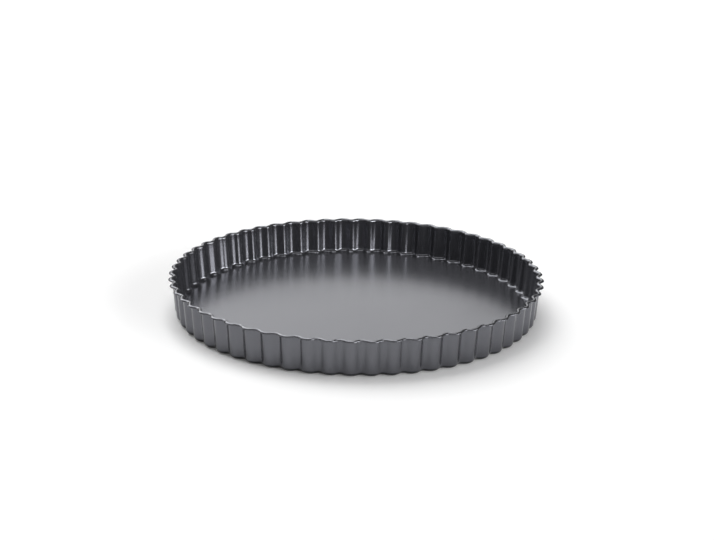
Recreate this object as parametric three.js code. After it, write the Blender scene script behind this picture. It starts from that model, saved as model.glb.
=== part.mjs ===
// Fluted tart pan with a loose base: a drawn steel ring with an upright fluted wall, a rolled top
// edge and a flat lip turned in at the foot, and a plain round base that rests on the lip.
// Millimetres, +Z up, origin on the table under the centre of the pan.
import * as THREE from 'three';

// Ring: overall sizes, measured across opposite flute crests
const RIM_DIAMETER = 280;
const FOOT_DIAMETER = 270;
const HEIGHT = 28;

// Ring: sheet, rolled edge and bend at the foot
const SHEET = 0.6;
const BEAD_DIAMETER = 3.6;
const BEND_RADIUS = 3;

// Flutes: scallops round the wall, wide rounded crests outward and narrower ridges inward between them,
// which take up this share of the way round
const FLUTE_COUNT = 58;
const FLUTE_DEPTH = 2.75;
const RIDGE_SHARE = 0.39;

// Loose base, the gap round its edge and the width of lip that carries it
const BASE_THICKNESS = 0.8;
const BASE_CLEARANCE = 0.4;
const LIP_OVERLAP = 6;

// Fineness of the facets
const COLUMNS_PER_FLUTE = 6;
const BEND_STEPS = 2;
const BEAD_STEPS_OVER = 4;
const BEAD_STEPS_UNDER = 2;
const BASE_SIDES = 180;

// Coating: dark grey non-stick on steel
const COATING = { color: 0x56585d, roughness: 0.38, metalness: 0.55 };

const beadRadius = BEAD_DIAMETER / 2;
const beadHeight = HEIGHT - beadRadius;
const footInside = FOOT_DIAMETER / 2 - SHEET;
const rimInside = RIM_DIAMETER / 2 - BEAD_DIAMETER;
const baseRadius = ridgeInside(SHEET) - BEND_RADIUS - BASE_CLEARANCE;
const lipHoleRadius = baseRadius - LIP_OVERLAP;

// Inside radius of the flared wall at the flute crests, at one height
function crestInside(height) {
  return THREE.MathUtils.lerp(footInside, rimInside, height / beadHeight);
}

// Inside radius of the wall at the ridges between the crests
function ridgeInside(height) {
  return crestInside(height) - FLUTE_DEPTH;
}

// Height of the scallop at one angle, from 0 at a ridge to 1 at a crest: two arcs that meet at one slope
function scallop(angle) {
  const turn = THREE.MathUtils.euclideanModulo(FLUTE_COUNT * angle / Math.PI, 2);
  const fromCrest = Math.min(turn, 2 - turn);
  const fromRidge = 1 - fromCrest;
  if (fromRidge < RIDGE_SHARE) {
    return fromRidge ** 2 / RIDGE_SHARE;
  }
  return 1 - fromCrest ** 2 / (1 - RIDGE_SHARE);
}

// Point at one angle, distance from the axis and height
function ringPoint(angle, radius, height) {
  return new THREE.Vector3(radius * Math.cos(angle), radius * Math.sin(angle), height);
}

// Point at an outward distance from the wall's inside, which follows the scallops
function wallPoint(angle, outward, height) {
  const inside = THREE.MathUtils.lerp(ridgeInside(height), crestInside(height), scallop(angle));
  return ringPoint(angle, inside + outward, height);
}

// Section of the ring as a closed loop of points that each follow the scallops round the pan
function ringSection() {
  const section = [(angle) => ringPoint(angle, lipHoleRadius, 0)];
  const bendTop = SHEET + BEND_RADIUS;
  const bendOutside = BEND_RADIUS + SHEET;
  for (let step = 0; step <= BEND_STEPS; step += 1) {
    const turn = (1 - step / BEND_STEPS) * Math.PI / 2;
    const outward = bendOutside * Math.cos(turn) - BEND_RADIUS;
    const height = bendTop - bendOutside * Math.sin(turn);
    section.push((angle) => wallPoint(angle, outward, height));
  }
  const beadStart = -Math.acos(SHEET / beadRadius - 1);
  for (let step = -BEAD_STEPS_UNDER; step <= BEAD_STEPS_OVER; step += 1) {
    const turn = step < 0 ? -step / BEAD_STEPS_UNDER * beadStart : step / BEAD_STEPS_OVER * Math.PI;
    const outward = beadRadius * (1 + Math.cos(turn));
    const height = beadHeight + beadRadius * Math.sin(turn);
    section.push((angle) => wallPoint(angle, outward, height));
  }
  for (let step = 0; step <= BEND_STEPS; step += 1) {
    const turn = step / BEND_STEPS * Math.PI / 2;
    const outward = BEND_RADIUS * (Math.cos(turn) - 1);
    const height = bendTop - BEND_RADIUS * Math.sin(turn);
    section.push((angle) => wallPoint(angle, outward, height));
  }
  section.push((angle) => ringPoint(angle, lipHoleRadius, SHEET));
  return section;
}

// Closed skin swept round the axis: one row of vertices for each point of the section
function sweptRing(section, columns) {
  const positions = [];
  const triangles = [];
  for (let column = 0; column < columns; column += 1) {
    const angle = column / columns * 2 * Math.PI;
    section.forEach((point) => positions.push(...point(angle).toArray()));
  }
  const rows = section.length;
  for (let column = 0; column < columns; column += 1) {
    const here = column * rows;
    const next = (column + 1) % columns * rows;
    for (let row = 0; row < rows; row += 1) {
      const above = (row + 1) % rows;
      triangles.push(here + row, next + row, next + above);
      triangles.push(here + row, next + above, here + above);
    }
  }
  const geometry = new THREE.BufferGeometry();
  geometry.setAttribute('position', new THREE.Float32BufferAttribute(positions, 3));
  geometry.setIndex(triangles);
  geometry.computeVertexNormals();
  return geometry;
}

function flutedRing() {
  const geometry = sweptRing(ringSection(), FLUTE_COUNT * COLUMNS_PER_FLUTE);
  const ring = new THREE.Mesh(geometry, new THREE.MeshStandardMaterial(COATING));
  ring.name = 'fluted_ring';
  return ring;
}

// The base is a flat disc standing on the lip
function looseBase() {
  const geometry = new THREE.CylinderGeometry(baseRadius, baseRadius, BASE_THICKNESS, BASE_SIDES);
  geometry.rotateX(Math.PI / 2);
  geometry.translate(0, 0, BASE_THICKNESS / 2);
  const base = new THREE.Mesh(geometry, new THREE.MeshStandardMaterial(COATING));
  base.name = 'loose_base';
  base.position.z = SHEET;
  return base;
}

const pan = new THREE.Group();
pan.add(flutedRing(), looseBase());

export default pan;
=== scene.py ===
"""Looks of the fluted tart pan: the drawn ring and the loose base as fine meshes with a dark non-stick
coating, on a white table in soft studio light. Metres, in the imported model's frame."""
import math

import bpy
import numpy as np
from mathutils import Matrix, Vector


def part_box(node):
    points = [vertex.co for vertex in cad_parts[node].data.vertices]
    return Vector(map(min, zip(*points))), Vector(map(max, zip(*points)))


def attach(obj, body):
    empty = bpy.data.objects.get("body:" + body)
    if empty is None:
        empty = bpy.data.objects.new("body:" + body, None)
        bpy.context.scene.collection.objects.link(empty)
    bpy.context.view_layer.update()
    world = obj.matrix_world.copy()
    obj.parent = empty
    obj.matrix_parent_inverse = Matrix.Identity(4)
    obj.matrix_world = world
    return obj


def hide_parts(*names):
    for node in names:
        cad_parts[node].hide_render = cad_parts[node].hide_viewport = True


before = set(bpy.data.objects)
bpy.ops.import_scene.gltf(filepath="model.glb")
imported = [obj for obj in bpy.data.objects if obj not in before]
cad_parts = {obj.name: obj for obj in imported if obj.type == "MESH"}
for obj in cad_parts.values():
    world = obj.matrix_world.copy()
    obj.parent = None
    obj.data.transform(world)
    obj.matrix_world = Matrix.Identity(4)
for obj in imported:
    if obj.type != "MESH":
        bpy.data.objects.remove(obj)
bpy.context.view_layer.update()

# Sizes of the ring that its box doesn't give
FOOT_DIAMETER = 0.270
SHEET = 0.0006
BEAD_DIAMETER = 0.0036
BEND_RADIUS = 0.003
LIP_OVERLAP = 0.006

# Flutes: their number, their depth and the share of the way round that the inward ridges take up
FLUTE_COUNT = 58
FLUTE_DEPTH = 0.00275
RIDGE_SHARE = 0.39

# The rolled edge turns over from the inside of the wall to this angle above level, in degrees
CURL_END = 30

# Small roundings at the hole in the lip and at the edge of the base
EDGE_ROUND = 0.00015

# Fineness of the meshes. Columns crowd towards the ridges, and faces that meet at more than the sharp
# angle aren't shaded as one.
COLUMNS_PER_FLUTE = 22
COLUMN_CROWDING = 0.25
BEND_STEPS = 8
WALL_STEPS = 6
BEAD_STEPS = 18
EDGE_STEPS = 3
BASE_SIDES = 360
BASE_RINGS = 12
SHARP_ANGLE = math.radians(50)

# Coating: a dark grey metallic finish, a little bluish, and lighter where edges are rubbed
COATING_COLOUR = (0.133, 0.135, 0.149)
RUBBED_COLOUR = (0.172, 0.174, 0.186)
RUBBED_WIDTH = 0.002
COATING_METAL = 0.8
RING_ROUGHNESS = 0.17
BASE_ROUGHNESS = 0.23

# Underside: painted shade, a darker colour on faces turned to the table that stands in for the shade under
# the foot; it begins and is full at these values of the upright part of their normal
UNDERSIDE_PAINTED_SHADE = (0.02, 0.02, 0.023)
PAINTED_SHADE_START = -0.2
PAINTED_SHADE_END = -0.5

# Noises that vary the coating, each with its scale per metre and its detail, and the middle range of a
# noise that is used
GRAIN = (2600, 2)
CLOUD = (16, 4)
PEEL = (420, 2)
PATCHES = (160, 3)
NOISE_LOW = 0.3
NOISE_HIGH = 0.7

# What the noises change: a share of the colour, the roughness, and a shallow peel
TINT_SPREAD = 0.1
GLOSS_SPREAD = 0.02
RUBBED_POLISH = 0.03
PEEL_STRENGTH = 0.05
PEEL_DEPTH = 0.0002

# Camera: the photograph's viewing angle, with the lens and the sensor in millimetres
CAMERA_AZIMUTH = math.radians(-1.87)
CAMERA_ELEVATION = math.radians(20.44)
CAMERA_DISTANCE = 1.1252
CAMERA_ROLL = math.radians(0.85)
CAMERA_LENS = 74.95
SENSOR_WIDTH = 36
AIM_RIGHT = 0.0012
AIM_UP = 0.0299

# Studio: the white table, the glow that the camera alone sees on it, and the dim room
TABLE_SIZE = 16
TABLE_WHITE = (0.95, 0.95, 0.95, 1)
TABLE_GLOW = 0.02
ROOM_LEVEL = 0.06

# Softboxes round the pan: radiance, azimuth clockwise from behind the pan, elevation, and the width and
# height that the pan sees, all angles in degrees
LIGHT_DISTANCE = 4.0
SOFTBOXES = {
    "back_softbox": (1.35, -3, 25, 30, 30),
    "key_softbox": (3.0, -33, 57, 48, 58),
    "left_softbox": (0.9, -64, 27, 60, 22),
    "right_softbox": (10.5, 134, 16, 28, 18),
    "side_softbox": (3.6, 108, 27, 28, 20),
    "front_softbox": (1.1, 190, 36, 90, 16),
    "top_softbox": (1.2, 70, 80, 40, 20),
}

ring_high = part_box("fluted_ring")[1]
base_low, base_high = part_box("loose_base")
rim_radius = ring_high.x
rim_height = ring_high.z
base_radius = base_high.x
bead_radius = BEAD_DIAMETER / 2
bead_height = rim_height - bead_radius
foot_inside = FOOT_DIAMETER / 2 - SHEET
rim_inside = rim_radius - BEAD_DIAMETER
lip_hole_radius = base_radius - LIP_OVERLAP


# Meshes

def scallop(angles):
    """Height of the flutes at some angles, from 0 at the narrower ridges to 1 at the wide crests."""
    turn = FLUTE_COUNT * angles / math.pi % 2
    from_crest = np.minimum(turn, 2 - turn)
    from_ridge = 1 - from_crest
    ridge = from_ridge ** 2 / RIDGE_SHARE
    crest = 1 - from_crest ** 2 / (1 - RIDGE_SHARE)
    return np.where(from_ridge < RIDGE_SHARE, ridge, crest)


def round_row(angles, radius, level):
    """Points round the axis at one level."""
    return np.stack([radius * np.cos(angles), radius * np.sin(angles), np.full_like(angles, level)], axis=1)


def wall_row(angles, outward, level):
    """Points at an outward distance from the inside of the flared, fluted wall, at one level."""
    crest = foot_inside + (rim_inside - foot_inside) * level / bead_height
    radius = crest - FLUTE_DEPTH * (1 - scallop(angles)) + outward
    return round_row(angles, radius, level)


def arc(centre_out, centre_up, radius, start, end, steps):
    """Points (outward, level) along an arc of a section, angles in degrees from outward."""
    turns = np.radians(np.linspace(start, end, steps + 1))
    return [(centre_out + radius * math.cos(turn), centre_up + radius * math.sin(turn)) for turn in turns]


def curl_tip():
    """Points round the cut edge of the sheet where the rolled edge ends."""
    middle = bead_radius - SHEET / 2
    turn = math.radians(CURL_END)
    tip_out = bead_radius + middle * math.cos(turn)
    tip_up = bead_height + middle * math.sin(turn)
    return arc(tip_out, tip_up, SHEET / 2, CURL_END + 180, CURL_END + 360, 2 * EDGE_STEPS)[1:-1]


def wall_section():
    """Section of the sheet from the bend's underside, up the outside, round the roll and down the inside."""
    bend_up = SHEET + BEND_RADIUS
    section = arc(-BEND_RADIUS, bend_up, BEND_RADIUS + SHEET, -90, 0, BEND_STEPS)
    wall_levels = np.linspace(bend_up, bead_height, WALL_STEPS + 1)[1:-1]
    section += [(SHEET, level) for level in wall_levels]
    section += arc(bead_radius, bead_height, bead_radius - SHEET, 180, CURL_END, BEAD_STEPS)
    section += curl_tip()
    section += arc(bead_radius, bead_height, bead_radius, CURL_END, 180, BEAD_STEPS)
    section += [(0, level) for level in wall_levels[::-1]]
    section += arc(-BEND_RADIUS, bend_up, BEND_RADIUS, 0, -90, BEND_STEPS)
    return section


def ring_rows(angles):
    """All rows of the ring's closed skin: the lip's round hole edge, then the fluted sheet."""
    hole_edge = arc(lip_hole_radius + EDGE_ROUND, SHEET - EDGE_ROUND, EDGE_ROUND, 90, 180, EDGE_STEPS)
    hole_edge += arc(lip_hole_radius + EDGE_ROUND, EDGE_ROUND, EDGE_ROUND, 180, 270, EDGE_STEPS)
    rows = [round_row(angles, radius, level) for radius, level in hole_edge]
    rows += [wall_row(angles, outward, level) for outward, level in wall_section()]
    return rows


def closed_grid(rows, columns):
    """Quads of a skin that closes both round the axis and round the section."""
    faces = []
    for row in range(rows):
        above = (row + 1) % rows
        for column in range(columns):
            after = (column + 1) % columns
            faces.append((row * columns + column, row * columns + after,
                          above * columns + after, above * columns + column))
    return faces


def lathe(profile, sides):
    """Vertices and faces of a profile turned about the axis, whose first and last points lie on it."""
    angles = np.linspace(0, 2 * math.pi, sides, endpoint=False)
    vertices = [(0, 0, profile[0][1])]
    for radius, level in profile[1:-1]:
        vertices += [tuple(point) for point in round_row(angles, radius, level)]
    vertices.append((0, 0, profile[-1][1]))
    last = len(vertices) - 1
    rows = len(profile) - 2
    faces = []
    for side in range(sides):
        after = (side + 1) % sides
        faces.append((0, 1 + after, 1 + side))
        for row in range(rows - 1):
            low = 1 + row * sides
            high = low + sides
            faces.append((low + side, low + after, high + after, high + side))
        top = 1 + (rows - 1) * sides
        faces.append((top + side, top + after, last))
    return vertices, faces


def add_piece(name, vertices, faces, body, node, material):
    """A smooth mesh that stands for one CAD node and rides on its body."""
    mesh = bpy.data.meshes.new(name)
    mesh.from_pydata(vertices, [], faces)
    mesh.materials.append(material)
    mesh.shade_smooth()
    mesh.set_sharp_from_angle(angle=SHARP_ANGLE)
    piece = bpy.data.objects.new(name, mesh)
    bpy.context.scene.collection.objects.link(piece)
    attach(piece, body)
    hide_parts(node)


def add_ring(material):
    """The drawn ring: wall, rolled edge, bend and lip in one closed skin."""
    columns = FLUTE_COUNT * COLUMNS_PER_FLUTE
    steps = np.linspace(0, 2 * math.pi, columns, endpoint=False)
    angles = steps + COLUMN_CROWDING * np.sin(FLUTE_COUNT * steps) / FLUTE_COUNT
    rows = ring_rows(angles)
    vertices = [tuple(point) for point in np.concatenate(rows)]
    faces = closed_grid(len(rows), columns)
    add_piece("pan_ring", vertices, faces, "ring", "fluted_ring", material)


def add_base(material):
    """The loose base: a flat disc with rounded edges."""
    under = base_low.z
    over = base_high.z
    edge = base_radius - EDGE_ROUND
    radii = np.linspace(0, edge, BASE_RINGS + 1)
    profile = [(radius, under) for radius in radii[:-1]]
    profile += arc(edge, under + EDGE_ROUND, EDGE_ROUND, -90, 0, EDGE_STEPS)
    profile += arc(edge, over - EDGE_ROUND, EDGE_ROUND, 0, 90, EDGE_STEPS)
    profile += [(radius, over) for radius in radii[-2::-1]]
    vertices, faces = lathe(profile, BASE_SIDES)
    add_piece("pan_base", vertices, faces, "base", "loose_base", material)


# Materials

def new_material(name):
    """A material with its nodes and links."""
    material = bpy.data.materials.new(name)
    material.use_nodes = True
    return material, material.node_tree.nodes, material.node_tree.links


def noise(nodes, links, where, scale, detail):
    """A noise at some coordinates."""
    node = nodes.new("ShaderNodeTexNoise")
    node.inputs["Scale"].default_value = scale
    node.inputs["Detail"].default_value = detail
    links.new(where, node.inputs["Vector"])
    return node.outputs["Fac"]


def stretch(nodes, links, value, start, end, low, high):
    """A value between start and end brought to the range from low to high."""
    node = nodes.new("ShaderNodeMapRange")
    node.inputs["From Min"].default_value = start
    node.inputs["From Max"].default_value = end
    node.inputs["To Min"].default_value = low
    node.inputs["To Max"].default_value = high
    links.new(value, node.inputs["Value"])
    return node.outputs["Result"]


def spread(nodes, links, value, low, high):
    """The middle of a noise stretched over the range from low to high."""
    return stretch(nodes, links, value, NOISE_LOW, NOISE_HIGH, low, high)


def calculate(nodes, links, operation, values):
    """A math node on sockets and plain numbers."""
    node = nodes.new("ShaderNodeMath")
    node.operation = operation
    for socket, value in zip(node.inputs, values):
        if isinstance(value, bpy.types.NodeSocket):
            links.new(value, socket)
        else:
            socket.default_value = value
    return node.outputs["Value"]


def blend(nodes, links, factor, first, second):
    """A colour between two others, each a socket or three numbers."""
    node = nodes.new("ShaderNodeMix")
    node.data_type = "RGBA"
    for name, colour in (("A", first), ("B", second)):
        if isinstance(colour, bpy.types.NodeSocket):
            links.new(colour, node.inputs[name])
        else:
            node.inputs[name].default_value = (*colour, 1)
    links.new(factor, node.inputs["Factor"])
    return node.outputs["Result"]


def upright_part(nodes, links, vector):
    """Upright part of a place or of a direction."""
    split = nodes.new("ShaderNodeSeparateXYZ")
    links.new(vector, split.inputs["Vector"])
    return split.outputs["Z"]


def distance_out(nodes, links, place):
    """Distance of a place from the middle of the pan."""
    length = nodes.new("ShaderNodeVectorMath")
    length.operation = "LENGTH"
    links.new(place, length.inputs[0])
    return length.outputs["Value"]


def coating(name, roughness, measure, edge_start, edge_end):
    """Dark metallic non-stick coating: fine grain, faint cloudiness in the gloss, a soft peel, painted shade
    on faces turned to the table, and an edge rubbed in patches, which begins and is full at two values of a
    measure."""
    material, nodes, links = new_material(name)
    shader = nodes["Principled BSDF"]
    coordinates = nodes.new("ShaderNodeTexCoord").outputs
    where = coordinates["Object"]
    grain = noise(nodes, links, where, *GRAIN)
    cloud = noise(nodes, links, where, *CLOUD)
    peel = noise(nodes, links, where, *PEEL)
    patches = noise(nodes, links, where, *PATCHES)

    edge = stretch(nodes, links, measure(nodes, links, where), edge_start, edge_end, 0, 1)
    rubbed = calculate(nodes, links, "MULTIPLY", (edge, spread(nodes, links, patches, 0, 1)))

    darker = [channel * (1 - TINT_SPREAD) for channel in COATING_COLOUR]
    lighter = [channel * (1 + TINT_SPREAD) for channel in COATING_COLOUR]
    tint = blend(nodes, links, spread(nodes, links, grain, 0, 1), darker, lighter)
    worn = blend(nodes, links, rubbed, tint, RUBBED_COLOUR)
    # Painted shade: faces turned down to the table get a darker colour in place of the shade under the foot
    slope = upright_part(nodes, links, coordinates["Normal"])
    under = stretch(nodes, links, slope, PAINTED_SHADE_START, PAINTED_SHADE_END, 0, 1)
    links.new(blend(nodes, links, under, worn, UNDERSIDE_PAINTED_SHADE), shader.inputs["Base Color"])

    rough = spread(nodes, links, cloud, roughness - GLOSS_SPREAD, roughness + GLOSS_SPREAD)
    polished = calculate(nodes, links, "MULTIPLY_ADD", (rubbed, -RUBBED_POLISH, rough))
    links.new(polished, shader.inputs["Roughness"])

    bump = nodes.new("ShaderNodeBump")
    bump.inputs["Strength"].default_value = PEEL_STRENGTH
    bump.inputs["Distance"].default_value = PEEL_DEPTH
    links.new(peel, bump.inputs["Height"])
    links.new(bump.outputs["Normal"], shader.inputs["Normal"])

    shader.inputs["Metallic"].default_value = COATING_METAL
    return material


# Studio

def add_table():
    """White table: it takes the shadow, and a little white is added to it for the camera alone."""
    bpy.ops.mesh.primitive_plane_add(size=TABLE_SIZE)
    table = bpy.context.object
    table.name = "table"
    material, nodes, links = new_material("table_white")
    nodes.remove(nodes["Principled BSDF"])
    paper = nodes.new("ShaderNodeBsdfDiffuse")
    paper.inputs["Color"].default_value = TABLE_WHITE
    glow = nodes.new("ShaderNodeEmission")
    ray = nodes.new("ShaderNodeLightPath")
    share = calculate(nodes, links, "MULTIPLY", (ray.outputs["Is Camera Ray"], TABLE_GLOW))
    links.new(share, glow.inputs["Strength"])
    both = nodes.new("ShaderNodeAddShader")
    links.new(paper.outputs[0], both.inputs[0])
    links.new(glow.outputs[0], both.inputs[1])
    links.new(both.outputs[0], nodes["Material Output"].inputs["Surface"])
    table.data.materials.append(material)


def add_world():
    """White all round for the camera, and a dim room for everything else."""
    world = bpy.data.worlds.new("studio")
    bpy.context.scene.world = world
    world.use_nodes = True
    nodes = world.node_tree.nodes
    links = world.node_tree.links
    background = nodes["Background"]
    background.inputs["Color"].default_value = (1, 1, 1, 1)
    ray = nodes.new("ShaderNodeLightPath")
    level = stretch(nodes, links, ray.outputs["Is Camera Ray"], 0, 1, ROOM_LEVEL, 1)
    links.new(level, background.inputs["Strength"])


def add_softbox(name, radiance, azimuth, elevation, width, height):
    """Rectangular light facing the pan."""
    turn = math.radians(azimuth)
    rise = math.radians(elevation)
    place = Vector((math.sin(turn) * math.cos(rise), math.cos(turn) * math.cos(rise), math.sin(rise)))
    light = bpy.data.lights.new(name, "AREA")
    light.shape = "RECTANGLE"
    light.size = 2 * LIGHT_DISTANCE * math.tan(math.radians(width) / 2)
    light.size_y = 2 * LIGHT_DISTANCE * math.tan(math.radians(height) / 2)
    light.energy = radiance * math.pi * light.size * light.size_y
    lamp = bpy.data.objects.new(name, light)
    lamp.location = place * LIGHT_DISTANCE
    lamp.rotation_euler = (-place).to_track_quat("-Z", "Y").to_euler()
    bpy.context.scene.collection.objects.link(lamp)


def add_camera():
    """Camera aimed a little above the table, near the middle of the pan."""
    data = bpy.data.cameras.new("camera")
    data.lens = CAMERA_LENS
    data.sensor_fit = "HORIZONTAL"
    data.sensor_width = SENSOR_WIDTH
    camera = bpy.data.objects.new("camera", data)
    bpy.context.scene.collection.objects.link(camera)
    level = CAMERA_DISTANCE * math.cos(CAMERA_ELEVATION)
    right = Vector((math.cos(CAMERA_AZIMUTH), math.sin(CAMERA_AZIMUTH), 0))
    place = Vector((math.sin(CAMERA_AZIMUTH) * level, -math.cos(CAMERA_AZIMUTH) * level,
                    CAMERA_DISTANCE * math.sin(CAMERA_ELEVATION)))
    target = right * AIM_RIGHT + Vector((0, 0, AIM_UP))
    aimed = (target - place).to_track_quat("-Z", "Y").to_matrix().to_4x4()
    camera.matrix_world = Matrix.Translation(place) @ aimed @ Matrix.Rotation(CAMERA_ROLL, 4, "Z")
    bpy.context.scene.camera = camera


add_ring(coating("ring_coat", RING_ROUGHNESS, upright_part, bead_height, rim_height))
add_base(coating("base_coat", BASE_ROUGHNESS, distance_out, base_radius - RUBBED_WIDTH, base_radius))
add_table()
add_world()
for name, settings in SOFTBOXES.items():
    add_softbox(name, *settings)
add_camera()

bpy.context.scene.view_settings.view_transform = "Standard"
